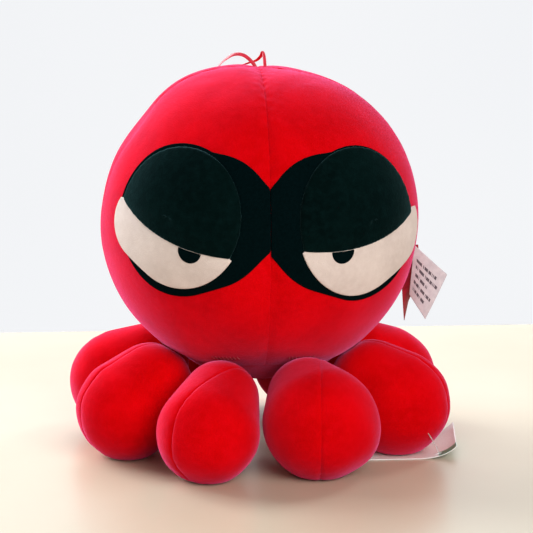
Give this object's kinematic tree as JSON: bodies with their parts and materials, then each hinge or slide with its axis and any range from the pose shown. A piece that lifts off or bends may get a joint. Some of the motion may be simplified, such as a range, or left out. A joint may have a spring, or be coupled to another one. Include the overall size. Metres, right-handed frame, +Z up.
{
  "type": "stuffed octopus toy",
  "caption": "Stuffed plush octopus with a round head, sewn felt eyes under heavy lids, a ring of short fat hinged legs, a crown ribbon loop and sewn labels.",
  "frame": {"origin": "on the floor under the middle of the head", "axes": "+Z up, the face looks along -Y, +X is the toy's left, on the right as seen from the front"},
  "size_m": [0.2534, 0.253, 0.2644],
  "materials": {
    "plush_red": "short pile plush, soft sheen",
    "stuffing": "loose polyester fibre",
    "felt_black": "flat felt, slightly blue black",
    "plush_black": "short pile fleece",
    "plush_white": "short pile fleece, warm white",
    "thread_red": "sewing thread",
    "satin_red": "narrow satin ribbon",
    "satin_white": "white satin label",
    "nylon_clear": "translucent white nylon",
    "card_white": "coated card, blank"
  },
  "bodies": {
    "head": {"head_front_left_panel": "plush_red", "head_front_right_panel": "plush_red", "head_rear_left_panel": "plush_red", "head_rear_right_panel": "plush_red", "head_base_disc": "plush_red", "head_stuffing": "stuffing", "left_eye_backing": "felt_black", "left_eye_white": "plush_white", "left_eyelid": "plush_black", "left_pupil": "plush_black", "right_eye_backing": "felt_black", "right_eye_white": "plush_white", "right_eyelid": "plush_black", "right_pupil": "plush_black", "leg_attachment_threads": "thread_red"},
    "front_left_leg": {"front_left_leg_left_panel": "plush_red", "front_left_leg_right_panel": "plush_red", "front_left_leg_stuffing": "stuffing"},
    "front_right_leg": {"front_right_leg_left_panel": "plush_red", "front_right_leg_right_panel": "plush_red", "front_right_leg_stuffing": "stuffing"},
    "side_right_leg": {"side_right_leg_left_panel": "plush_red", "side_right_leg_right_panel": "plush_red", "side_right_leg_stuffing": "stuffing", "tag_pin": "nylon_clear"},
    "hind_right_leg": {"hind_right_leg_left_panel": "plush_red", "hind_right_leg_right_panel": "plush_red", "hind_right_leg_stuffing": "stuffing"},
    "rear_right_leg": {"rear_right_leg_left_panel": "plush_red", "rear_right_leg_right_panel": "plush_red", "rear_right_leg_stuffing": "stuffing"},
    "rear_left_leg": {"rear_left_leg_left_panel": "plush_red", "rear_left_leg_right_panel": "plush_red", "rear_left_leg_stuffing": "stuffing"},
    "hind_left_leg": {"hind_left_leg_left_panel": "plush_red", "hind_left_leg_right_panel": "plush_red", "hind_left_leg_stuffing": "stuffing"},
    "side_left_leg": {"side_left_leg_left_panel": "plush_red", "side_left_leg_right_panel": "plush_red", "side_left_leg_stuffing": "stuffing"},
    "hanging_ribbon": {"hanging_loop": "satin_red"},
    "care_label": {"care_label": "satin_white"},
    "side_ribbon": {"side_ribbon": "satin_red"},
    "swing_tag": {"swing_tag": "card_white"}
  },
  "joints": [
    {"name": "front_left_leg_lift", "type": "hinge", "parent": "head", "child": "front_left_leg", "pos_m": [-0.0266, -0.06551, 0.07209], "axis": [-0.9265, 0.3762, 0], "range_deg": [0, 25], "stiffness_Nm_per_rad": 0.5, "springref_deg": -5.73},
    {"name": "front_right_leg_lift", "type": "hinge", "parent": "head", "child": "front_right_leg", "pos_m": [0.02395, -0.06652, 0.07209], "axis": [-0.9409, -0.3387, 0], "range_deg": [0, 25], "stiffness_Nm_per_rad": 0.5, "springref_deg": -5.73},
    {"name": "side_right_leg_lift", "type": "hinge", "parent": "head", "child": "side_right_leg", "pos_m": [0.06508, -0.02763, 0.07209], "axis": [-0.3907, -0.9205, 0], "range_deg": [0, 25], "stiffness_Nm_per_rad": 0.5, "springref_deg": -5.73},
    {"name": "hind_right_leg_lift", "type": "hinge", "parent": "head", "child": "hind_right_leg", "pos_m": [0.06532, 0.02706, 0.07209], "axis": [0.3827, -0.9239, 0], "range_deg": [0, 25], "stiffness_Nm_per_rad": 0.5, "springref_deg": -5.73},
    {"name": "rear_right_leg_lift", "type": "hinge", "parent": "head", "child": "rear_right_leg", "pos_m": [0.02706, 0.06532, 0.07209], "axis": [0.9239, -0.3827, 0], "range_deg": [0, 25], "stiffness_Nm_per_rad": 0.5, "springref_deg": -5.73},
    {"name": "rear_left_leg_lift", "type": "hinge", "parent": "head", "child": "rear_left_leg", "pos_m": [-0.02706, 0.06532, 0.07209], "axis": [0.9239, 0.3827, 0], "range_deg": [0, 25], "stiffness_Nm_per_rad": 0.5, "springref_deg": -5.73},
    {"name": "hind_left_leg_lift", "type": "hinge", "parent": "head", "child": "hind_left_leg", "pos_m": [-0.06532, 0.02706, 0.07209], "axis": [0.3827, 0.9239, 0], "range_deg": [0, 25], "stiffness_Nm_per_rad": 0.5, "springref_deg": -5.73},
    {"name": "side_left_leg_lift", "type": "hinge", "parent": "head", "child": "side_left_leg", "pos_m": [-0.06555, -0.02649, 0.07209], "axis": [-0.3746, 0.9272, 0], "range_deg": [0, 25], "stiffness_Nm_per_rad": 0.5, "springref_deg": -5.73},
    {"name": "hanging_loop_lift", "type": "hinge", "parent": "head", "child": "hanging_ribbon", "pos_m": [0.0015, 0.002, 0.2568], "axis": [1, 0, 0], "range_deg": [0, 70]},
    {"name": "care_label_swing", "type": "hinge", "parent": "head", "child": "care_label", "pos_m": [0.0993, -0.00025, 0.118], "axis": [0.3019, 0, 0.9533], "range_deg": [-40, 0]},
    {"name": "side_ribbon_swing", "type": "hinge", "parent": "head", "child": "side_ribbon", "pos_m": [0.1023, 0.0032, 0.125], "axis": [0.2425, 0, 0.9702], "range_deg": [0, 40]},
    {"name": "swing_tag_turn", "type": "hinge", "parent": "side_right_leg", "child": "swing_tag", "pos_m": [0.1155, -0.0545, 0], "axis": [0, 0, 1], "range_deg": [-15, 0]}
  ]
}
